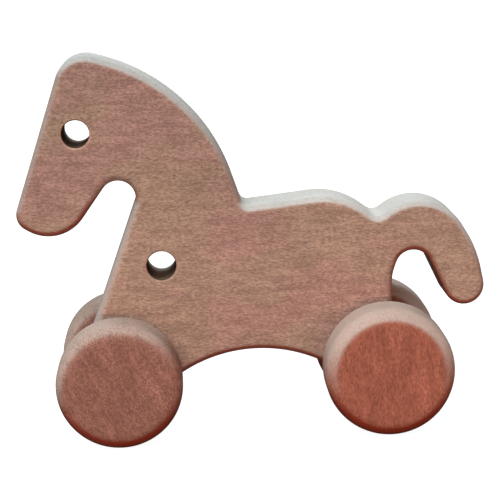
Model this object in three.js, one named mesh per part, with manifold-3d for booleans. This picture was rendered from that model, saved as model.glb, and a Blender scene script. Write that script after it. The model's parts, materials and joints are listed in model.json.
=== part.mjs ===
// A push-along wooden horse: one shaped board, two dowel axles and four turned wheels.
// Millimetres, +Z up. The horse faces -X and the floor is Z = 0.
import * as THREE from "three";
import { mergeVertices } from "three/addons/utils/BufferGeometryUtils.js";
import Module from "manifold-3d";

const wasm = await Module();
wasm.setup();

// ---- driving dimensions ----
const board_thickness = 18;
const board_edge_round = 2.2;
const front_wheel_diameter = 34;
const rear_wheel_diameter = 35;
const wheel_thickness = 16;
const wheel_edge_round = 4.5;
const wheel_gap = 1;
const front_axle_x = -37.55;
const wheelbase = 72.55;
const dowel_diameter = 8;
const dowel_chamfer = 0.8;
const axle_bore_diameter = 8.5;
const wheel_bore_diameter = 8.3;
const wheel_bore_depth = 10.5;
const dowel_end_gap = 0.5;
const hole_chamfer = 0.5;
const eye_hole = { x: -46.3, z: 83.3, diameter: 7.5 };
const cord_hole = { x: -25, z: 46.5, diameter: 8 };

// ---- facets ----
const round_segments = 40;
const longest_chord = 3;
const widest_turn = THREE.MathUtils.degToRad(12);
const edge_steps = 3;

// ---- worked-out sizes ----
const front_axle_z = front_wheel_diameter / 2;
const rear_axle_z = rear_wheel_diameter / 2;
const rear_axle_x = front_axle_x + wheelbase;
const board_half = board_thickness / 2;
const dowel_length = board_thickness + 2 * (wheel_gap + wheel_bore_depth - dowel_end_gap);

// The board's outline is a belt pulled round these discs, clockwise seen from the -Y side.
// The belt passes round the outside of a disc with side 1, and round the inside of one with
// side -1, which leaves a hollow in the board.
const front_foot_radius = 11;
const hind_foot_radius = 10;
const belly_arch_radius = 39.1;
const outline_discs = [
  { name: "front_foot", x: front_axle_x, z: front_axle_z, radius: front_foot_radius, side: 1 },
  { name: "throat", x: -35.9, z: 65.3, radius: 4.8, side: -1 },
  { name: "jaw", x: -54.6, z: 66.8, radius: 11.1, side: 1 },
  { name: "nose", x: -58.9, z: 61.8, radius: 4.6, side: 1 },
  { name: "poll", x: -43.3, z: 95.9, radius: 8, side: 1 },
  { name: "mane", x: -53.3, z: 54.1, radius: 50.95, side: 1 },
  { name: "withers", x: -0.5, z: 64.1, radius: 2.4, side: -1 },
  { name: "rump", x: 18.5, z: 43.4, radius: 20, side: 1 },
  { name: "tail_dip", x: 34.3, z: 60.3, radius: 3, side: -1 },
  { name: "tail_top", x: 45.2, z: 47.1, radius: 14, side: 1 },
  { name: "tail_back", x: 30.9, z: 35.9, radius: 32, side: 1 },
  { name: "tail_tip", x: 57.6, z: 37.2, radius: 5.5, side: 1 },
  { name: "tail_arch", x: 43.75, z: 42.6, radius: 4.9, side: -1 },
  { name: "leg_back", x: 49.8, z: 38.5, radius: 12, side: -1 },
  { name: "leg_flare", x: 43.8, z: 32.1, radius: 6, side: -1 },
  { name: "hind_foot", x: rear_axle_x, z: rear_axle_z, radius: hind_foot_radius, side: 1 },
  { name: "belly_arch", x: -0.15, z: -17.2, radius: belly_arch_radius, side: -1 },
];

// ---- materials ----
const beech = { roughness: 0.62, metalness: 0 };
const board_material = new THREE.MeshStandardMaterial({ color: 0xb07c66, ...beech });
const front_wheel_material = new THREE.MeshStandardMaterial({ color: 0x9a6450, ...beech });
const rear_wheel_material = new THREE.MeshStandardMaterial({ color: 0xa9694f, ...beech });
const dowel_material = new THREE.MeshStandardMaterial({ color: 0xc79b7c, ...beech });

// ---- solids ----
function toManifold(geometry) {
  const bare = geometry.clone();
  bare.deleteAttribute("normal");
  bare.deleteAttribute("uv");
  const merged = mergeVertices(bare, 1e-4);
  return new wasm.Manifold(new wasm.Mesh({
    numProp: 3,
    vertProperties: new Float32Array(merged.attributes.position.array),
    triVerts: new Uint32Array(merged.index.array),
  }));
}

function toGeometry(solid) {
  const mesh = solid.getMesh();
  const geometry = new THREE.BufferGeometry();
  geometry.setAttribute("position", new THREE.BufferAttribute(mesh.vertProperties, 3));
  geometry.setIndex(new THREE.BufferAttribute(mesh.triVerts, 1));
  geometry.computeVertexNormals();
  return geometry;
}

// ---- the board's outline ----
// The direction in which the belt leaves disc a for disc b, with the board on its right.
function beltAngle(a, b) {
  const dx = b.x - a.x;
  const dz = b.z - a.z;
  const lean = (a.side * a.radius - b.side * b.radius) / Math.hypot(dx, dz);
  return Math.atan2(dz, dx) - Math.asin(Math.max(-1, Math.min(1, lean)));
}

function beltPoint(disc, angle) {
  const reach = disc.side * disc.radius;
  return new THREE.Vector2(disc.x - reach * Math.sin(angle), disc.z + reach * Math.cos(angle));
}

function beltOutline(discs) {
  const count = discs.length;
  const angles = discs.map((disc, i) => beltAngle(disc, discs[(i + 1) % count]));
  const points = [];
  discs.forEach((disc, i) => {
    const arrive = angles[(i + count - 1) % count];
    const full = 2 * Math.PI;
    const turn = disc.side * ((((arrive - angles[i]) * disc.side) % full + full) % full);
    const step = Math.min(widest_turn, longest_chord / disc.radius);
    const steps = Math.max(1, Math.ceil(Math.abs(turn) / step));
    for (let k = 0; k <= steps; k += 1) {
      points.push(beltPoint(disc, arrive - (turn * k) / steps));
    }
  });
  return points;
}

function makeBoardBlank() {
  const geometry = new THREE.ExtrudeGeometry(new THREE.Shape(beltOutline(outline_discs)), {
    depth: board_thickness - 2 * board_edge_round,
    steps: 1,
    bevelEnabled: true,
    bevelThickness: board_edge_round,
    bevelSize: board_edge_round,
    bevelOffset: -board_edge_round,
    bevelSegments: edge_steps,
  });
  geometry.translate(0, 0, board_edge_round - board_half);
  geometry.rotateX(Math.PI / 2);
  return geometry;
}

// ---- drilled holes ----
// A drill with a chamfer at each face of the board, lying along Y.
function makeDrill({ x, z, diameter }) {
  const radius = diameter / 2;
  const beyond = 1;
  const wide = radius + hole_chamfer + beyond;
  const profile = [
    [0, -board_half - beyond],
    [wide, -board_half - beyond],
    [radius, -board_half + hole_chamfer],
    [radius, board_half - hole_chamfer],
    [wide, board_half + beyond],
    [0, board_half + beyond],
  ].map(([r, y]) => new THREE.Vector2(r, y));
  const geometry = new THREE.LatheGeometry(profile, round_segments);
  geometry.translate(x, 0, z);
  return toManifold(geometry);
}

function makeBoard() {
  const drills = [
    makeDrill(eye_hole),
    makeDrill(cord_hole),
    makeDrill({ x: front_axle_x, z: front_axle_z, diameter: axle_bore_diameter }),
    makeDrill({ x: rear_axle_x, z: rear_axle_z, diameter: axle_bore_diameter }),
  ];
  const blank = toManifold(makeBoardBlank());
  return toGeometry(drills.reduce((solid, drill) => solid.subtract(drill), blank));
}

// ---- turned pieces, lying along Y ----
function roundedCorner(center_r, center_y, radius, from_deg, to_deg, steps) {
  return Array.from({ length: steps + 1 }, (_, k) => {
    const angle = THREE.MathUtils.degToRad(from_deg + ((to_deg - from_deg) * k) / steps);
    return new THREE.Vector2(center_r + radius * Math.cos(angle), center_y + radius * Math.sin(angle));
  });
}

// A wheel with its closed outer face at -Y and its blind bore open at the inner face, Y = 0.
function makeWheel(diameter) {
  const radius = diameter / 2;
  const bore = wheel_bore_diameter / 2;
  const round = wheel_edge_round;
  const profile = [
    new THREE.Vector2(0, -wheel_thickness),
    ...roundedCorner(radius - round, round - wheel_thickness, round, -90, 0, edge_steps),
    ...roundedCorner(radius - round, -round, round, 0, 90, edge_steps),
    new THREE.Vector2(bore, 0),
    new THREE.Vector2(bore, -wheel_bore_depth),
    new THREE.Vector2(0, -wheel_bore_depth),
  ];
  return new THREE.LatheGeometry(profile, round_segments);
}

function makeDowel() {
  const radius = dowel_diameter / 2;
  const half = dowel_length / 2;
  const profile = [
    [0, -half],
    [radius - dowel_chamfer, -half],
    [radius, dowel_chamfer - half],
    [radius, half - dowel_chamfer],
    [radius - dowel_chamfer, half],
    [0, half],
  ].map(([r, y]) => new THREE.Vector2(r, y));
  return new THREE.LatheGeometry(profile, round_segments);
}

// ---- assembly ----
const horse = new THREE.Group();

function addPiece(name, geometry, material, parent = horse) {
  const mesh = new THREE.Mesh(geometry, material);
  mesh.name = name;
  parent.add(mesh);
  return mesh;
}

// An axle with its two wheels, as a group centred on the axle.
function addWheelSet(end, x, diameter, wheel_material) {
  const set = new THREE.Group();
  set.position.set(x, 0, diameter / 2);
  addPiece(`${end}_axle`, makeDowel(), dowel_material, set);
  const left = addPiece(`${end}_left_wheel`, makeWheel(diameter), wheel_material, set);
  left.position.y = -board_half - wheel_gap;
  const right = addPiece(`${end}_right_wheel`, makeWheel(diameter), wheel_material, set);
  right.position.y = board_half + wheel_gap;
  right.rotation.z = Math.PI;
  horse.add(set);
}

addPiece("horse_body", makeBoard(), board_material);
addWheelSet("front", front_axle_x, front_wheel_diameter, front_wheel_material);
addWheelSet("rear", rear_axle_x, rear_wheel_diameter, rear_wheel_material);

export default horse;
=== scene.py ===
"""A push-along wooden horse: one rounded beech board on two turned wheel sets.

Everything is in metres, +Z up, with the horse facing -X and the floor at Z = 0.
"""

import json
import math
from typing import NamedTuple

import bmesh
import bpy
from mathutils import Matrix, Vector


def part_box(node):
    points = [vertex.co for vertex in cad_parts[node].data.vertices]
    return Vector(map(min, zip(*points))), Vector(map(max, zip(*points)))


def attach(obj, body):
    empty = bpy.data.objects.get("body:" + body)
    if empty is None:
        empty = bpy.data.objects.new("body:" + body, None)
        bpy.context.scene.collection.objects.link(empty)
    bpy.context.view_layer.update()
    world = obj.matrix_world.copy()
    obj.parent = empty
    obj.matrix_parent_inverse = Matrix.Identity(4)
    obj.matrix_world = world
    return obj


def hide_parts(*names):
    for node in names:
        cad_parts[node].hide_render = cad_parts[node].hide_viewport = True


bl_info = {
    "name": "Wooden horse on wheels",
    "version": (1, 0, 0),
    "blender": (4, 5, 0),
    "location": "3D View > Sidebar > Horse",
    "description": "Makes a push-along wooden horse, its wheels and its studio",
    "category": "Add Mesh",
}

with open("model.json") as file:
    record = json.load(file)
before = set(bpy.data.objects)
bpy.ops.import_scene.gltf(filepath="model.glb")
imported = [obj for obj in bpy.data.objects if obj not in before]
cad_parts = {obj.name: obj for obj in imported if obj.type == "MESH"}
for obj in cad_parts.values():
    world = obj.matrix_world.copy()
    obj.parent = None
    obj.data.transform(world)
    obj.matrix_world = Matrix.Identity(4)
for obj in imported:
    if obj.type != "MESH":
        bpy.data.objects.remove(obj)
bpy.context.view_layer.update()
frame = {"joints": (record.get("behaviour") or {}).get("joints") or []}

MM = 0.001

# ---- places and sizes taken from the frame ----
axle_places = {joint["child"]: Vector(joint["pos_m"]) for joint in frame["joints"]}
front_axle = axle_places["front_wheels"]
rear_axle = axle_places["rear_wheels"]
board_low, board_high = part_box("horse_body")
board_half = (board_high.y - board_low.y) / 2
wheel_low, wheel_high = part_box("front_left_wheel")
wheel_thickness = wheel_high.y - wheel_low.y
dowel_low, dowel_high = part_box("front_axle")
dowel_radius = (dowel_high.z - dowel_low.z) / 2
dowel_half = (dowel_high.y - dowel_low.y) / 2

# ---- the board's outline, in millimetres ----
# A belt pulled round these discs, clockwise seen from -Y: side 1 passes outside a disc,
# side -1 passes inside it and leaves a hollow.
OUTLINE_DISCS = [
    ("front_foot", front_axle.x / MM, front_axle.z / MM, 11, 1),
    ("throat", -35.9, 65.3, 4.8, -1),
    ("jaw", -54.6, 66.8, 11.1, 1),
    ("nose", -58.9, 61.8, 4.6, 1),
    ("poll", -43.3, 95.9, 8, 1),
    ("mane", -53.3, 54.1, 50.95, 1),
    ("withers", -0.5, 64.1, 2.4, -1),
    ("rump", 18.5, 43.4, 20, 1),
    ("tail_dip", 34.3, 60.3, 3, -1),
    ("tail_top", 45.2, 47.1, 14, 1),
    ("tail_back", 30.9, 35.9, 32, 1),
    ("tail_tip", 57.6, 37.2, 5.5, 1),
    ("tail_arch", 43.75, 42.6, 4.9, -1),
    ("leg_back", 49.8, 38.5, 12, -1),
    ("leg_flare", 43.8, 32.1, 6, -1),
    ("hind_foot", rear_axle.x / MM, rear_axle.z / MM, 10, 1),
    ("belly_arch", -0.15, -17.2, 39.1, -1),
]
EYE_HOLE = (-46.3, 83.3)
CORD_HOLE = (-25, 46.5)
LONGEST_CHORD = 1.2
WIDEST_TURN = math.radians(5)
CLOSEST_POINTS = 0.2 * MM

# ---- how finely the round shapes are cut ----
BOARD_EDGE_STEPS = 8
WHEEL_EDGE_STEPS = 10
HOLE_EDGE_STEPS = 5
HOLE_SIDES = 64
WHEEL_SIDES = 96
DOWEL_SIDES = 48
WHEEL_FACE_RINGS = (0, 0.2, 0.4, 0.6)


# ---- settings that a user would change ----
def length(name, default_mm, description):
    return bpy.props.FloatProperty(
        name=name, description=description, default=default_mm * MM, min=0, subtype="DISTANCE", unit="LENGTH"
    )


def colour(name, default, description):
    return bpy.props.FloatVectorProperty(
        name=name, description=description, default=default, size=3, min=0, max=1, subtype="COLOR"
    )


def factor(name, default, description):
    return bpy.props.FloatProperty(
        name=name, description=description, default=default, min=0, max=1, subtype="FACTOR"
    )


class HorseBoardSettings(bpy.types.PropertyGroup):
    edge_round: length("Edge round", 2.2, "Radius of the router's round-over along the board's edges")
    hole_round: length("Hole round", 0.5, "Radius of the sanded edge at each drilled hole")
    eye_radius: length("Eye radius", 3.75, "Radius of the eye hole")
    cord_radius: length("Cord hole radius", 4.0, "Radius of the cord hole")
    bore_radius: length("Axle bore radius", 4.25, "Radius of the two bores that the axles turn in")
    tan: colour("Tan", (0.545, 0.372, 0.275), "Yellower patches of the board")
    pink: colour("Pink", (0.570, 0.345, 0.283), "Redder patches of the board")
    # Dark inside of each hole: drill burn with painted shade in the hole.
    burnt: colour("Burnt wall", (0.15, 0.095, 0.07), "Walls of the drilled holes, darkened by the drill")
    # Pale upper edges: worn wood with a painted highlight from the light above.
    worn_and_highlit_edge: colour("Worn edge", (0.71, 0.71, 0.68), "Bleached wood along the upper edges")
    # Painted shade: deep red where a rounded edge looks down, away from the light.
    shaded_under_edge: colour("Under edge", (0.33, 0.045, 0.018), "Deeper red wood where an edge looks down")
    end_grain: colour("End grain", (0.360, 0.135, 0.075), "Where the saw cut across the fibres")


class HorseWheelSettings(bpy.types.PropertyGroup):
    edge_round: length("Edge round", 4.5, "Radius turned on both edges of a wheel")
    bore_radius: length("Bore radius", 4.15, "Radius of the blind bore glued on the dowel")
    bore_depth: length("Bore depth", 10.5, "Depth of the blind bore")
    dowel_chamfer: length("Dowel chamfer", 0.8, "Chamfer at each end of the axle dowel")
    front: colour("Front wheel", (0.425, 0.205, 0.155), "Wood of the front wheels")
    rear: colour("Rear wheel", (0.500, 0.178, 0.115), "Wood of the rear wheels")
    # Pale wheel rims: sanded wood with a painted highlight from the light above.
    worn_and_highlit_edge: colour("Worn edge", (0.62, 0.51, 0.44), "Sanded wood round the rim of each wheel")
    dowel: colour("Dowel", (0.55, 0.34, 0.21), "Wood of the axle dowels")


class HorseStageSettings(bpy.types.PropertyGroup):
    floor: colour("Floor", (0.28, 0.28, 0.28), "Colour of the plain floor under the studio lights")
    floor_glow: factor("Floor glow", 0.95, "Light added to the floor where it shows, so that it looks pale")
    surround: factor("Surround", 0.22, "Strength of the even light from all round")
    lens: bpy.props.FloatProperty(
        name="Lens",
        description="Focal length of the camera in millimetres",
        default=126.2,
        min=20,
        unit="CAMERA",
    )


# ---- the wood's patterns ----
# How many features a metre holds along X, Y and Z, with the fibres along X.
FINE_FIBRES = (850, 1900, 1900)
BROAD_FIBRES = (150, 700, 700)
FLECKS = (1000, 2800, 2800)
FLECK_CLUSTERS = (220, 330, 330)
TONE_PATCHES = (38, 60, 75)
PORES = (2100, 2100, 2100)
PORE_CLUSTERS = (260, 260, 260)
HANDLING_MARKS = (28, 28, 28)
SANDING_MARKS = (900, 900, 180)

DARK_STREAK = (0.66, 0.64, 0.62)
LIGHT_STREAK = (1.12, 1.12, 1.12)
DARKENING_TINT = (0.695, 0.743, 0.743)
# Painted highlight on the far end of a hole's wall.
FAR_END_LIGHT = (0.7, 0.66, 0.6)
RELIEF_DEPTH = 0.1 * MM
SMOOTHEST = 0.38
ROUGHEST = 0.56
HANDLED_AMOUNT = 0.35
DARKER_AMOUNT = 0.65
END_GRAIN_AMOUNT = 0.7

# The stretch of Y over which a hole's wall turns from its dark colour to a painted highlight, where light
# falls in from behind the board.
HOLE_LIGHT_START = 2 * MM
HOLE_LIGHT_FULL = 9.5 * MM

# The part of a unit normal that lies along Y, just where a flat side starts to round over.
FLAT_SIDE = 0.998

# A Mix node has sockets for every kind of value. These are the ones that mix colours.
MIX_FACTOR = 0
MIX_FIRST = 6
MIX_SECOND = 7
MIX_RESULT = 2


class PaleEdge(NamedTuple):
    """Pale wood on the rounded edges that face one side: worn wood with a painted highlight."""

    colour: tuple
    amount: float
    side: tuple = (0, 0, 1)
    lowest_lift: float = 0.0
    full_edge: float = 0.8


class ShadedUnderEdge(NamedTuple):
    """Painted shade, a deeper red, on the rounded edges that look down, from the first height of fades to
    the second.
    """

    colour: tuple
    amount: float
    fades: tuple = ()


# ---- shader helpers ----
def add_node(tree, kind, **settings):
    node = tree.nodes.new(kind)
    for key, value in settings.items():
        setattr(node, key, value)
    return node


def feed(tree, socket, value):
    """Links a socket to another node's output, or sets the value that it holds."""
    if isinstance(value, bpy.types.NodeSocket):
        tree.links.new(value, socket)
    elif socket.type == "RGBA":
        socket.default_value = (*value, 1)
    else:
        socket.default_value = value


def math_node(tree, operation, first, second=None, clamp=False):
    node = add_node(tree, "ShaderNodeMath", operation=operation, use_clamp=clamp)
    feed(tree, node.inputs[0], first)
    if second is not None:
        feed(tree, node.inputs[1], second)
    return node.outputs[0]


def weighted_sum(tree, first, first_weight, second, second_weight):
    first_part = math_node(tree, "MULTIPLY", first, first_weight)
    second_part = math_node(tree, "MULTIPLY", second, second_weight)
    return math_node(tree, "ADD", first_part, second_part)


def remap(tree, value, start, full, low=0.0, high=1.0):
    """low until the value reaches start, then smoothly on to high at full."""
    node = add_node(tree, "ShaderNodeMapRange", interpolation_type="SMOOTHSTEP")
    feed(tree, node.inputs["Value"], value)
    feed(tree, node.inputs["From Min"], start)
    feed(tree, node.inputs["From Max"], full)
    feed(tree, node.inputs["To Min"], low)
    feed(tree, node.inputs["To Max"], high)
    return node.outputs["Result"]


def stretched(tree, vector, scale, offset=(0, 0, 0)):
    node = add_node(tree, "ShaderNodeMapping", vector_type="POINT")
    feed(tree, node.inputs["Location"], offset)
    feed(tree, node.inputs["Scale"], scale)
    feed(tree, node.inputs["Vector"], vector)
    return node.outputs["Vector"]


def noise(tree, vector, scale, offset=(0, 0, 0), detail=3.0, roughness=0.55):
    node = add_node(tree, "ShaderNodeTexNoise", noise_dimensions="3D")
    feed(tree, node.inputs["Scale"], 1.0)
    feed(tree, node.inputs["Detail"], detail)
    feed(tree, node.inputs["Roughness"], roughness)
    feed(tree, node.inputs["Vector"], stretched(tree, vector, scale, offset))
    return node.outputs["Fac"]


def mix_colours(tree, mask, first, second, blend="MIX"):
    node = add_node(tree, "ShaderNodeMix", data_type="RGBA", blend_type=blend)
    feed(tree, node.inputs[MIX_FACTOR], mask)
    feed(tree, node.inputs[MIX_FIRST], first)
    feed(tree, node.inputs[MIX_SECOND], second)
    return node.outputs[MIX_RESULT]


def dot_with(tree, vector, direction):
    node = add_node(tree, "ShaderNodeVectorMath", operation="DOT_PRODUCT")
    feed(tree, node.inputs[0], vector)
    feed(tree, node.inputs[1], direction)
    return node.outputs["Value"]


def split_axes(tree, vector):
    node = add_node(tree, "ShaderNodeSeparateXYZ")
    feed(tree, node.inputs[0], vector)
    return node.outputs


def own_normal(tree):
    """The surface's normal in the piece's own axes, so that what it colours turns with the piece."""
    geometry = add_node(tree, "ShaderNodeNewGeometry")
    turn = add_node(tree, "ShaderNodeVectorTransform", vector_type="NORMAL")
    turn.convert_from = "WORLD"
    turn.convert_to = "OBJECT"
    feed(tree, turn.inputs[0], geometry.outputs["Normal"])
    return turn.outputs[0]


def shade(rgb, amount):
    return tuple(channel * amount for channel in rgb)


# ---- the effects that the woods share ----
def new_group(name, inputs, outputs):
    group = bpy.data.node_groups.new(name, "ShaderNodeTree")
    for socket, kind, default in inputs:
        made = group.interface.new_socket(name=socket, in_out="INPUT", socket_type=kind)
        if default is not None:
            made.default_value = default
    for socket in outputs:
        group.interface.new_socket(name=socket, in_out="OUTPUT", socket_type="NodeSocketFloat")
    source = group.nodes.new("NodeGroupInput")
    target = group.nodes.new("NodeGroupOutput")
    return group, source, target


def make_grain_group():
    """Beech grain with its fibres along X: streaks, short dark flecks, broad patches and relief."""
    group, source, target = new_group(
        "beech_grain",
        [("Vector", "NodeSocketVector", None), ("Fleck Amount", "NodeSocketFloat", 1.0)],
        ["Fibres", "Flecks", "Patches", "Height"],
    )
    vector = source.outputs["Vector"]
    fine = noise(group, vector, FINE_FIBRES, roughness=0.7)
    broad = noise(group, vector, BROAD_FIBRES, offset=(3, 1, 7), roughness=0.6)
    fibres = remap(group, weighted_sum(group, fine, 0.62, broad, 0.38), 0.36, 0.64)
    dashes = noise(group, vector, FLECKS, offset=(11, 5, 2), detail=2.0, roughness=0.5)
    clusters = noise(group, vector, FLECK_CLUSTERS, offset=(1, 9, 4), detail=2.0, roughness=0.5)
    dashes = remap(group, weighted_sum(group, dashes, 1.0, clusters, 0.25), 0.61, 0.77)
    flecks = math_node(group, "MULTIPLY", dashes, source.outputs["Fleck Amount"], clamp=True)
    patches = remap(group, noise(group, vector, TONE_PATCHES, offset=(5, 2, 8), detail=2.5), 0.38, 0.62)
    height = math_node(group, "SUBTRACT", math_node(group, "MULTIPLY", fibres, 0.5), flecks)
    feed(group, target.inputs["Fibres"], fibres)
    feed(group, target.inputs["Flecks"], flecks)
    feed(group, target.inputs["Patches"], patches)
    feed(group, target.inputs["Height"], height)
    return group


def make_pore_group():
    """Round open pores, as where the fibres meet the surface end on."""
    group, source, target = new_group(
        "beech_pores",
        [("Vector", "NodeSocketVector", None), ("Amount", "NodeSocketFloat", 1.0)],
        ["Pores", "Height"],
    )
    vector = source.outputs["Vector"]
    cells = add_node(group, "ShaderNodeTexVoronoi", feature="F1")
    feed(group, cells.inputs["Scale"], 1.0)
    feed(group, cells.inputs["Vector"], stretched(group, vector, PORES))
    dots = remap(group, cells.outputs["Distance"], 0.62, 0.20)
    clusters = remap(group, noise(group, vector, PORE_CLUSTERS, offset=(2, 6, 3), detail=2.0), 0.25, 0.60)
    pores = math_node(group, "MULTIPLY", dots, clusters)
    pores = math_node(group, "MULTIPLY", pores, source.outputs["Amount"])
    feed(group, target.inputs["Pores"], pores)
    feed(group, target.inputs["Height"], math_node(group, "SUBTRACT", 1.0, pores))
    return group


def make_handling_group():
    """Handling and sanding marks: slow changes of tone, and of how rough the surface is."""
    group, source, target = new_group(
        "sanding_and_handling", [("Vector", "NodeSocketVector", None)], ["Tone", "Rough"]
    )
    vector = source.outputs["Vector"]
    slow = noise(group, vector, HANDLING_MARKS, offset=(4, 4, 1))
    marks = noise(group, vector, SANDING_MARKS, offset=(7, 2, 5), detail=2.0)
    tone = remap(group, slow, 0.3, 0.7)
    feed(group, target.inputs["Tone"], tone)
    feed(group, target.inputs["Rough"], weighted_sum(group, tone, 0.6, marks, 0.4))
    return group


def make_edge_group():
    """Masks for the surface that rounds over from the flat sides, for its painted light and shade.

    Upper faces the pale side, where the wood is worn pale and gets a painted highlight. Under looks
    down and gets painted shade, and Deep is the part of it that has turned furthest, where the painted
    shade is darkest.
    """
    group, source, target = new_group(
        "rounded_edges",
        [
            ("Pale Side", "NodeSocketVector", (0, 0, 1)),
            ("Lowest Lift", "NodeSocketFloat", 0.0),
            ("Full Edge", "NodeSocketFloat", 0.8),
        ],
        ["Upper", "Under", "Deep"],
    )
    normal = own_normal(group)
    parts = split_axes(group, normal)
    flatness = math_node(group, "ABSOLUTE", parts["Y"])
    facing_pale = dot_with(group, normal, source.outputs["Pale Side"])
    lift = math_node(group, "SUBTRACT", facing_pale, source.outputs["Lowest Lift"])
    upward = remap(group, lift, 0.1, 0.8)
    downward = remap(group, parts["Z"], -0.03, -0.5)
    rounded = remap(group, flatness, FLAT_SIDE, source.outputs["Full Edge"])
    # The band that takes painted shade where an edge looks down.
    shaded_band = remap(group, flatness, FLAT_SIDE, 0.86)
    turned = remap(group, flatness, 0.75, 0.15)
    feed(group, target.inputs["Upper"], math_node(group, "MULTIPLY", rounded, upward))
    feed(group, target.inputs["Under"], math_node(group, "MULTIPLY", shaded_band, downward))
    feed(group, target.inputs["Deep"], math_node(group, "MULTIPLY", turned, downward))
    return group


# ---- one wood ----
def end_grain_mask(tree, fibre_axis):
    """How squarely the surface cuts the fibres, from 0 along them to 1 across them."""
    squareness = math_node(tree, "ABSOLUTE", dot_with(tree, own_normal(tree), fibre_axis))
    return remap(tree, squareness, 0.35, 0.95)


def bare_wood(tree, grain, pores, fibre_axis, light, dark, end):
    """The wood's own colour, from its patches, streaks, flecks, pores and end grain."""
    wood = mix_colours(tree, grain["Patches"], light, dark)
    streaks = mix_colours(tree, grain["Fibres"], DARK_STREAK, LIGHT_STREAK)
    wood = mix_colours(tree, 1.0, wood, streaks, blend="MULTIPLY")
    wood = mix_colours(tree, grain["Flecks"], wood, shade(dark, 0.45))
    wood = mix_colours(tree, pores["Pores"], wood, shade(end, 0.6))
    across = math_node(tree, "MULTIPLY", end_grain_mask(tree, fibre_axis), END_GRAIN_AMOUNT)
    return mix_colours(tree, across, wood, end)


def colour_under_edge(tree, wood, edges, height, shaded_under_edge):
    """The wood with painted shade, redder where its rounded edges look down and darker still where they turn
    furthest.
    """
    amount = shaded_under_edge.amount
    if shaded_under_edge.fades:
        amount = math_node(tree, "MULTIPLY", remap(tree, height, *shaded_under_edge.fades), amount)
    low_edge = math_node(tree, "MULTIPLY", edges["Under"], amount)
    deep_edge = math_node(tree, "MULTIPLY", edges["Deep"], amount)
    wood = mix_colours(tree, low_edge, wood, shaded_under_edge.colour)
    return mix_colours(tree, deep_edge, wood, shade(shaded_under_edge.colour, 0.22))


def colour_pale_edge(tree, wood, edges, grain, pores, pale_edge):
    """The wood, worn pale with a painted highlight on its pale side, with its flecks and pores still showing
    there.
    """
    worn = mix_colours(tree, pores["Pores"], pale_edge.colour, shade(pale_edge.colour, 0.5))
    worn = mix_colours(tree, grain["Flecks"], worn, shade(pale_edge.colour, 0.72))
    return mix_colours(tree, math_node(tree, "MULTIPLY", edges["Upper"], pale_edge.amount), wood, worn)


def make_beech(name, groups, place, turn, tones, flecks, pores, bump,
               pale_edge=None, shaded_under_edge=None, darker_above=None, far_end_light=0.0, specular=0.02):
    """One beech material. place and turn bring the fibres along the pattern's X axis.

    tones are the wood's light, dark and end-grain colours. darker_above gives the heights where a
    darker tone starts and where it is full. The far-end setting is how far a hole's wall turns to a
    painted highlight towards the +Y side of the board, where light falls in from behind. The pale
    edge is worn wood with a painted highlight, and the under edge is painted shade.
    """
    material = bpy.data.materials.new(name)
    material.use_nodes = True
    tree = material.node_tree
    shader = tree.nodes["Principled BSDF"]
    where = add_node(tree, "ShaderNodeTexCoord").outputs["Object"]
    position = split_axes(tree, where)
    mapping = add_node(tree, "ShaderNodeMapping", vector_type="TEXTURE")
    feed(tree, mapping.inputs["Location"], place)
    feed(tree, mapping.inputs["Rotation"], turn)
    feed(tree, mapping.inputs["Vector"], where)

    made = {key: add_node(tree, "ShaderNodeGroup", node_tree=group) for key, group in groups.items()}
    for key in ("grain", "pores", "handling"):
        feed(tree, made[key].inputs["Vector"], mapping.outputs["Vector"])
    feed(tree, made["grain"].inputs["Fleck Amount"], flecks)
    feed(tree, made["pores"].inputs["Amount"], pores)
    grain_out = made["grain"].outputs
    pores_out = made["pores"].outputs
    handling_out = made["handling"].outputs
    edges_out = made["edges"].outputs

    fibre_axis = Matrix.Rotation(turn[2], 3, "Z") @ Matrix.Rotation(turn[1], 3, "Y") @ Vector((1, 0, 0))
    wood = bare_wood(tree, grain_out, pores_out, fibre_axis, *tones)
    # Painted shade on the rounded edges that look down.
    if shaded_under_edge:
        wood = colour_under_edge(tree, wood, edges_out, position["Z"], shaded_under_edge)
    # Pale wood with a painted highlight on the rounded edges that face the lit side.
    if pale_edge:
        feed(tree, made["edges"].inputs["Pale Side"], pale_edge.side)
        feed(tree, made["edges"].inputs["Lowest Lift"], pale_edge.lowest_lift)
        feed(tree, made["edges"].inputs["Full Edge"], pale_edge.full_edge)
        wood = colour_pale_edge(tree, wood, edges_out, grain_out, pores_out, pale_edge)
    # Painted highlight: a hole's wall gets paler towards the +Y side, where light falls in from behind the
    # board.
    if far_end_light:
        lit_far_end = remap(tree, position["Y"], HOLE_LIGHT_START, HOLE_LIGHT_FULL)
        wood = mix_colours(tree, math_node(tree, "MULTIPLY", lit_far_end, far_end_light), wood, FAR_END_LIGHT)
    # Darker with the handling marks, and darker towards the top between the heights of darker_above.
    darkening = math_node(tree, "MULTIPLY", handling_out["Tone"], HANDLED_AMOUNT)
    if darker_above:
        darker = remap(tree, position["Z"], *darker_above)
        darker = math_node(tree, "MULTIPLY", darker, DARKER_AMOUNT)
        darkening = math_node(tree, "ADD", darkening, darker)
    wood = mix_colours(tree, darkening, wood, DARKENING_TINT, blend="MULTIPLY")
    roughness = remap(tree, handling_out["Rough"], 0.2, 0.8, SMOOTHEST, ROUGHEST)
    feed(tree, shader.inputs["Base Color"], wood)
    feed(tree, shader.inputs["Roughness"], roughness)

    bumped = add_node(tree, "ShaderNodeBump")
    feed(tree, bumped.inputs["Strength"], bump)
    feed(tree, bumped.inputs["Distance"], RELIEF_DEPTH)
    relief = math_node(tree, "ADD", grain_out["Height"], pores_out["Height"])
    feed(tree, bumped.inputs["Height"], relief)
    feed(tree, shader.inputs["Normal"], bumped.outputs["Normal"])
    feed(tree, shader.inputs["Specular IOR Level"], specular)
    return material


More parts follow.
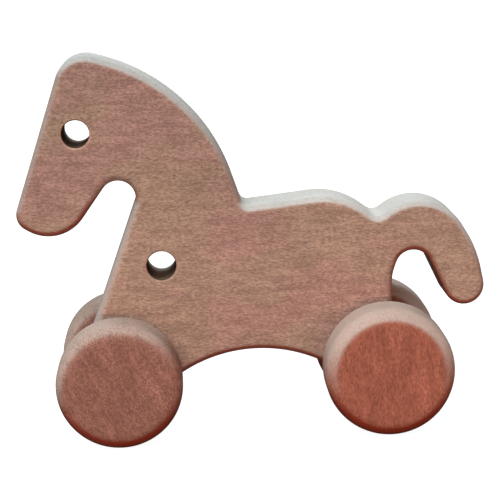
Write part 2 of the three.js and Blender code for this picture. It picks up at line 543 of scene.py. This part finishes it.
# ---- mesh helpers ----
def add_object(name, mesh, material):
    piece = bpy.data.objects.new(name, mesh)
    bpy.context.scene.collection.objects.link(piece)
    mesh.materials.clear()
    mesh.materials.append(material)
    return piece


def mesh_from(bm, name):
    bmesh.ops.recalc_face_normals(bm, faces=bm.faces)
    mesh = bpy.data.meshes.new(name)
    bm.to_mesh(mesh)
    bm.free()
    return mesh


def finish_piece(piece, body, node):
    """Smooth shading that keeps the flat faces flat, and the piece's place in the frame."""
    piece.data.shade_smooth()
    weighted = piece.modifiers.new("weighted_normals", "WEIGHTED_NORMAL")
    weighted.mode = "FACE_AREA"
    weighted.weight = 80
    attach(piece, body)
    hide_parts(node)


def spun(profile, centre, steps):
    """A closed solid turned about an axle along Y through centre; profile is (radius, y) points."""
    bm = bmesh.new()
    verts = [bm.verts.new((centre.x, centre.y + y, centre.z + radius)) for radius, y in profile]
    edges = [bm.edges.new(pair) for pair in zip(verts, verts[1:])]
    bmesh.ops.spin(
        bm,
        geom=verts + edges,
        cent=centre,
        axis=(0, 1, 0),
        angle=2 * math.pi,
        steps=steps,
        use_merge=True,
    )
    bmesh.ops.remove_doubles(bm, verts=bm.verts, dist=0.001 * MM)
    bmesh.ops.recalc_face_normals(bm, faces=bm.faces)
    return bm


def arc(centre_r, centre_y, radius, start, end, steps):
    return [
        (
            centre_r + radius * math.cos(math.radians(start + (end - start) * k / steps)),
            centre_y + radius * math.sin(math.radians(start + (end - start) * k / steps)),
        )
        for k in range(steps + 1)
    ]


# ---- the board's outline ----
def belt_angle(first, second):
    """The direction in which the belt leaves the first disc for the second."""
    dx = second[1] - first[1]
    dz = second[2] - first[2]
    lean = (first[4] * first[3] - second[4] * second[3]) / math.hypot(dx, dz)
    return math.atan2(dz, dx) - math.asin(max(-1, min(1, lean)))


def belt_outline():
    count = len(OUTLINE_DISCS)
    angles = [belt_angle(disc, OUTLINE_DISCS[(i + 1) % count]) for i, disc in enumerate(OUTLINE_DISCS)]
    points = []
    for i, (_, x, z, radius, side) in enumerate(OUTLINE_DISCS):
        arrive = angles[i - 1]
        turn = side * (((arrive - angles[i]) * side) % (2 * math.pi))
        steps = max(1, math.ceil(abs(turn) / min(WIDEST_TURN, LONGEST_CHORD / radius)))
        for k in range(steps + 1):
            angle = arrive - turn * k / steps
            points.append((x - side * radius * math.sin(angle), z + side * radius * math.cos(angle)))
    return points


# ---- pieces ----
# Where the board's other woods stand in its list of materials.
# The holes' walls: dark with drill burn and painted shade.
SHADED_WALL_SLOT = 1
RIM_SLOT = 2


def drill(radius, flare, x, z):
    """A cutter for a hole through the board with a rounded edge at both faces."""
    beyond = 1 * MM
    wide = radius + flare
    near = arc(wide, flare - board_half, flare, 270, 180, HOLE_EDGE_STEPS)
    far = arc(wide, board_half - flare, flare, 180, 90, HOLE_EDGE_STEPS)
    profile = [(0, -board_half - beyond), (wide, -board_half - beyond)]
    profile += near + far + [(wide, board_half + beyond), (0, board_half + beyond)]
    return mesh_from(spun(profile, Vector((x, 0, z)), HOLE_SIDES), "drill")


def cut_holes(piece, drills):
    """Cuts each drill out of the piece, and leaves a plain mesh."""
    for mesh in drills:
        tool = bpy.data.objects.new("drill", mesh)
        bpy.context.scene.collection.objects.link(tool)
        cut = piece.modifiers.new("hole", "BOOLEAN")
        cut.operation = "DIFFERENCE"
        cut.solver = "EXACT"
        cut.object = tool
        result = bpy.data.meshes.new_from_object(piece.evaluated_get(bpy.context.evaluated_depsgraph_get()))
        piece.modifiers.remove(cut)
        piece.data = result
        bpy.data.objects.remove(tool)


def past_hole_wall(point, hole, radius):
    """How far a point lies outside a hole's wall, square to the hole."""
    return math.hypot(point.x - hole[0] * MM, point.z - hole[1] * MM) - radius


def burn_and_shade_walls(piece, settings):
    """Gives the walls of the eye hole and the cord hole their dark wood, drill burn with painted shade, and
    their rims their own.
    """
    for polygon in piece.data.polygons:
        middle = polygon.center
        depth = board_half - abs(middle.y)
        past_eye = past_hole_wall(middle, EYE_HOLE, settings.eye_radius)
        past_cord = past_hole_wall(middle, CORD_HOLE, settings.cord_radius)
        past_wall = min(past_eye, past_cord) / settings.hole_round
        on_wall = past_wall < 0.1 and depth > 0.5 * settings.hole_round
        on_rim = past_wall < 1 and depth < settings.hole_round
        if on_wall:
            polygon.material_index = SHADED_WALL_SLOT
        elif on_rim:
            polygon.material_index = RIM_SLOT


class HORSE_OT_make_board(bpy.types.Operator):
    """Make the shaped board with its eye hole, cord hole and axle bores"""

    bl_idname = "horse.make_board"
    bl_label = "Make board"

    def execute(self, context):
        settings = context.scene.horse_board
        bm = bmesh.new()
        verts = [bm.verts.new((x * MM, -board_half, z * MM)) for x, z in belt_outline()]
        bmesh.ops.remove_doubles(bm, verts=verts, dist=CLOSEST_POINTS)
        bm.verts.ensure_lookup_table()
        face = bm.faces.new(list(bm.verts))
        raised = bmesh.ops.extrude_face_region(bm, geom=[face], use_keep_orig=True)["geom"]
        far_verts = [item for item in raised if isinstance(item, bmesh.types.BMVert)]
        bmesh.ops.translate(bm, verts=far_verts, vec=(0, 2 * board_half, 0))
        bmesh.ops.recalc_face_normals(bm, faces=bm.faces)
        rims = [edge for edge in bm.edges if abs(edge.verts[0].co.y - edge.verts[1].co.y) < 0.01 * MM]
        bmesh.ops.bevel(
            bm,
            geom=rims,
            offset=settings.edge_round,
            offset_type="OFFSET",
            affect="EDGES",
            segments=BOARD_EDGE_STEPS,
            profile=0.5,
            material=-1,
            clamp_overlap=False,
        )
        piece = add_object("board", mesh_from(bm, "board"), bpy.data.materials["board_wood"])
        holes = [
            drill(settings.eye_radius, settings.hole_round, EYE_HOLE[0] * MM, EYE_HOLE[1] * MM),
            drill(settings.cord_radius, settings.hole_round, CORD_HOLE[0] * MM, CORD_HOLE[1] * MM),
            drill(settings.bore_radius, settings.hole_round, front_axle.x, front_axle.z),
            drill(settings.bore_radius, settings.hole_round, rear_axle.x, rear_axle.z),
        ]
        cut_holes(piece, holes)
        piece.data.materials.append(bpy.data.materials["burnt_wood"])
        piece.data.materials.append(bpy.data.materials["hole_rim_wood"])
        burn_and_shade_walls(piece, settings)
        finish_piece(piece, "board", "horse_body")
        return {"FINISHED"}


def wheel_profile(settings, wheel_radius):
    """(radius, y) points of a wheel: closed outer face at y = 0, bore mouth at the wheel's thickness."""
    round_radius = settings.edge_round
    corner = wheel_radius - round_radius
    bore_radius = settings.bore_radius
    bore_floor = wheel_thickness - settings.bore_depth
    face_rings = [(wheel_radius * part, 0) for part in WHEEL_FACE_RINGS]
    outer_edge = arc(corner, round_radius, round_radius, 270, 360, WHEEL_EDGE_STEPS)
    inner_edge = arc(corner, wheel_thickness - round_radius, round_radius, 0, 90, WHEEL_EDGE_STEPS)
    bore = [(bore_radius, wheel_thickness), (bore_radius, bore_floor), (0, bore_floor)]
    return face_rings + outer_edge + inner_edge + bore


class HORSE_OT_make_wheels(bpy.types.Operator):
    """Make the four turned wheels, each with a blind bore for its dowel"""

    bl_idname = "horse.make_wheels"
    bl_label = "Make wheels"

    def execute(self, context):
        settings = context.scene.horse_wheels
        for end in ("front", "rear"):
            for side in ("left", "right"):
                node = f"{end}_{side}_wheel"
                low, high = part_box(node)
                outer_y = low.y if side == "left" else high.y
                inward = 1 if side == "left" else -1
                centre = Vector(((low.x + high.x) / 2, outer_y, (low.z + high.z) / 2))
                wheel_radius = (high.z - low.z) / 2
                profile = [(radius, inward * y) for radius, y in wheel_profile(settings, wheel_radius)]
                mesh = mesh_from(spun(profile, centre, WHEEL_SIDES), f"{end}_{side}_disc")
                piece = add_object(f"{end}_{side}_disc", mesh, bpy.data.materials[f"{end}_{side}_wood"])
                finish_piece(piece, f"{end}_wheels", node)
        return {"FINISHED"}


class HORSE_OT_make_axles(bpy.types.Operator):
    """Make the two dowel axles with chamfered ends"""

    bl_idname = "horse.make_axles"
    bl_label = "Make axles"

    def execute(self, context):
        chamfer = context.scene.horse_wheels.dowel_chamfer
        profile = [
            (0, -dowel_half),
            (dowel_radius - chamfer, -dowel_half),
            (dowel_radius, chamfer - dowel_half),
            (dowel_radius, -board_half),
            (dowel_radius, 0),
            (dowel_radius, board_half),
            (dowel_radius, dowel_half - chamfer),
            (dowel_radius - chamfer, dowel_half),
            (0, dowel_half),
        ]
        for end, centre in (("front", front_axle), ("rear", rear_axle)):
            mesh = mesh_from(spun(profile, centre, DOWEL_SIDES), f"{end}_dowel")
            piece = add_object(f"{end}_dowel", mesh, bpy.data.materials["dowel_wood"])
            finish_piece(piece, f"{end}_wheels", f"{end}_axle")
        return {"FINISHED"}


# ---- the woods ----
BOARD_FIBRE_TURN = (0, math.radians(2), 0)
WHEEL_PATTERN_Y = 30 * MM

# fibre_turn is in degrees, for the wheel on each side of the board. The other keys place the pale rim,
# sanded wood with a painted highlight on the side that faces the light.
WHEEL_WOODS = {
    "front": {
        "fibre_turn": {"left": 64, "right": 99},
        "flecks": 0.2,
        "pores": 0.85,
        "pale_amount": 0.75,
        "pale_side": (-0.35, 0, 0.94),
        "lowest_lift": -0.2,
        "full_edge": 0.70,
    },
    "rear": {
        "fibre_turn": {"left": 88, "right": 123},
        "flecks": 0.4,
        "pores": 0.3,
        "pale_amount": 0.92,
        "pale_side": (0, 0, 1),
        "lowest_lift": -0.38,
        "full_edge": 0.88,
    },
}


def make_board_woods(groups, board):
    """The board's own wood with its painted highlights and shade, the sanded rims of its holes, and the dark
    walls inside them, drill burn with painted shade.
    """
    worn_and_highlit_edge = tuple(board.worn_and_highlit_edge)
    burnt = tuple(board.burnt)
    plain = {
        "place": (0, 0, 0),
        "turn": BOARD_FIBRE_TURN,
        "tones": (tuple(board.tan), tuple(board.pink), tuple(board.end_grain)),
        "flecks": 0.5,
        "pores": 0.15,
        "bump": 0.5,
    }
    make_beech(
        "board_wood", groups, **plain,
        # Pale upper edges: worn wood with a painted highlight. Red lower edges: painted shade.
        pale_edge=PaleEdge(worn_and_highlit_edge, 0.94, side=(-0.03, 0, 1), lowest_lift=-0.14, full_edge=0.88),
        shaded_under_edge=ShadedUnderEdge(tuple(board.shaded_under_edge), 0.75, fades=(69 * MM, 62 * MM)),
        darker_above=(20 * MM, 90 * MM),
    )
    make_beech(
        "hole_rim_wood", groups, **plain,
        # The holes' rims: a faint painted highlight above and painted shade below.
        pale_edge=PaleEdge(worn_and_highlit_edge, 0.12),
        shaded_under_edge=ShadedUnderEdge(burnt, 0.8),
    )
    # The holes' walls: dark with drill burn and painted shade, with a painted highlight towards the far end.
    make_beech(
        "burnt_wood", groups, (0, 0, 0), BOARD_FIBRE_TURN, (shade(burnt, 1.4), burnt, shade(burnt, 0.6)),
        flecks=0.6, pores=0.4, bump=0.6, far_end_light=0.7, specular=0.0,
    )


def make_wheel_wood(groups, end, side, centre, base, wheels, board):
    """A wheel's wood, with its pattern centred on the wheel so that it turns about the axle. Its painted
    highlight and painted shade turn with it too.
    """
    wood = WHEEL_WOODS[end]
    # Pale rim: sanded wood with a painted highlight; the red lower rim below is painted shade.
    pale_edge = PaleEdge(
        tuple(wheels.worn_and_highlit_edge), wood["pale_amount"],
        side=wood["pale_side"], lowest_lift=wood["lowest_lift"], full_edge=wood["full_edge"],
    )
    make_beech(
        f"{end}_{side}_wood", groups, centre, (0, math.radians(wood["fibre_turn"][side]), 0),
        (shade(base, 1.1), shade(base, 0.92), shade(base, 0.72)),
        flecks=wood["flecks"], pores=wood["pores"], bump=0.5,
        pale_edge=pale_edge, shaded_under_edge=ShadedUnderEdge(shade(board.shaded_under_edge, 0.85), 0.9),
    )


class HORSE_OT_make_materials(bpy.types.Operator):
    """Make the beech materials and the node groups that they share"""

    bl_idname = "horse.make_materials"
    bl_label = "Make materials"

    def execute(self, context):
        board = context.scene.horse_board
        wheels = context.scene.horse_wheels
        groups = {
            "grain": make_grain_group(),
            "pores": make_pore_group(),
            "handling": make_handling_group(),
            "edges": make_edge_group(),
        }
        make_board_woods(groups, board)
        for end, axle in (("front", front_axle), ("rear", rear_axle)):
            for side, y in (("left", -WHEEL_PATTERN_Y), ("right", WHEEL_PATTERN_Y)):
                centre = (axle.x, y, axle.z)
                make_wheel_wood(groups, end, side, centre, tuple(getattr(wheels, end)), wheels, board)
        dowel = tuple(wheels.dowel)
        make_beech(
            "dowel_wood", groups, (0, 0, 0), (0, 0, math.radians(90)),
            (dowel, shade(dowel, 0.9), shade(dowel, 0.6)),
            flecks=0.6, pores=0.3, bump=0.4,
        )
        return {"FINISHED"}


# ---- the stage ----
FLOOR_HALF = 40.0
WHITE = (1, 1, 1)
LOW_RED = (1, 0.35, 0.2)
# name, place, target, width and height in metres, power in watts, colour
SOFTBOXES = (
    ("key_box", (-0.35, -0.75, 1.0), (0, 0, 0.05), (0.9, 0.9), 15, WHITE),
    ("back_box", (0.1, 1.1, 0.7), (0, 0, 0.06), (1.4, 0.7), 12, WHITE),
    ("low_box", (0.1, -0.8, 0.03), (0, 0, 0.04), (0.9, 0.05), 1.6, LOW_RED),
)
CAMERA_PLACE = Vector((-18.53, -475.8, 137.35)) * MM
CAMERA_YAW = math.radians(2.17)
CAMERA_PITCH = math.radians(10.61)
CAMERA_ROLL = math.radians(2.22)


def add_softbox(name, place, target, size, power, tint):
    light = bpy.data.lights.new(name, "AREA")
    light.shape = "RECTANGLE"
    light.size = size[0]
    light.size_y = size[1]
    light.energy = power
    light.color = tint
    box = bpy.data.objects.new(name, light)
    box.location = place
    box.rotation_euler = (Vector(target) - Vector(place)).to_track_quat("-Z", "Y").to_euler()
    box.visible_camera = False
    bpy.context.scene.collection.objects.link(box)


def make_floor_material(settings):
    """A pale floor that sends less light back up to the horse than it shows."""
    material = bpy.data.materials.new("pale_floor")
    material.use_nodes = True
    tree = material.node_tree
    shader = tree.nodes["Principled BSDF"]
    path = add_node(tree, "ShaderNodeLightPath")
    glow = math_node(tree, "MULTIPLY", path.outputs["Is Camera Ray"], settings.floor_glow)
    feed(tree, shader.inputs["Emission Strength"], glow)
    shader.inputs["Emission Color"].default_value = (1, 1, 1, 1)
    shader.inputs["Base Color"].default_value = (*settings.floor, 1)
    shader.inputs["Roughness"].default_value = 0.9
    shader.inputs["Specular IOR Level"].default_value = 0.1
    return material


def make_world(settings):
    """An even white surround, with its light on the horse set apart from how it looks."""
    world = bpy.data.worlds.new("studio")
    world.use_nodes = True
    tree = world.node_tree
    path = add_node(tree, "ShaderNodeLightPath")
    strength = add_node(tree, "ShaderNodeMix", data_type="FLOAT")
    tree.links.new(path.outputs["Is Camera Ray"], strength.inputs[0])
    strength.inputs[2].default_value = settings.surround
    strength.inputs[3].default_value = 1.0
    background = tree.nodes["Background"]
    background.inputs["Color"].default_value = (1, 1, 1, 1)
    tree.links.new(strength.outputs[0], background.inputs["Strength"])
    return world


class HORSE_OT_make_stage(bpy.types.Operator):
    """Make the floor, the studio lights and the camera"""

    bl_idname = "horse.make_stage"
    bl_label = "Make stage"

    def execute(self, context):
        scene = context.scene
        settings = scene.horse_stage

        bm = bmesh.new()
        bmesh.ops.create_grid(bm, x_segments=1, y_segments=1, size=FLOOR_HALF)
        add_object("floor", mesh_from(bm, "floor"), make_floor_material(settings))

        scene.world = make_world(settings)

        for box in SOFTBOXES:
            add_softbox(*box)

        camera = bpy.data.objects.new("camera", bpy.data.cameras.new("camera"))
        camera.data.lens = settings.lens
        camera.data.clip_start = 0.01
        turn = Matrix.Rotation(-CAMERA_YAW, 4, "Z") @ Matrix.Rotation(math.pi / 2 - CAMERA_PITCH, 4, "X")
        camera.matrix_world = Matrix.Translation(CAMERA_PLACE) @ turn @ Matrix.Rotation(-CAMERA_ROLL, 4, "Z")
        scene.collection.objects.link(camera)
        scene.camera = camera
        scene.view_settings.view_transform = "Standard"
        return {"FINISHED"}


class HORSE_PT_panel(bpy.types.Panel):
    """Lists the horse's pieces and their settings"""

    bl_idname = "HORSE_PT_panel"
    bl_label = "Wooden horse"
    bl_space_type = "VIEW_3D"
    bl_region_type = "UI"
    bl_category = "Horse"

    def draw(self, context):
        layout = self.layout
        for step in STEPS:
            layout.operator(step.bl_idname)
        for group in ("horse_board", "horse_wheels", "horse_stage"):
            settings = getattr(context.scene, group)
            for key in settings.__annotations__:
                layout.prop(settings, key)


SETTINGS = {
    "horse_board": HorseBoardSettings,
    "horse_wheels": HorseWheelSettings,
    "horse_stage": HorseStageSettings,
}
STEPS = (
    HORSE_OT_make_stage,
    HORSE_OT_make_materials,
    HORSE_OT_make_board,
    HORSE_OT_make_wheels,
    HORSE_OT_make_axles,
)


def register():
    for settings in SETTINGS.values():
        bpy.utils.register_class(settings)
    for key, settings in SETTINGS.items():
        setattr(bpy.types.Scene, key, bpy.props.PointerProperty(type=settings))
    for item in (*STEPS, HORSE_PT_panel):
        bpy.utils.register_class(item)


def unregister():
    for item in reversed((*STEPS, HORSE_PT_panel)):
        bpy.utils.unregister_class(item)
    for key in SETTINGS:
        delattr(bpy.types.Scene, key)
    for settings in reversed(tuple(SETTINGS.values())):
        bpy.utils.unregister_class(settings)


def main():
    register()
    bpy.ops.horse.make_stage()
    bpy.ops.horse.make_materials()
    bpy.ops.horse.make_board()
    bpy.ops.horse.make_wheels()
    bpy.ops.horse.make_axles()


if __name__ == "__main__":
    main()
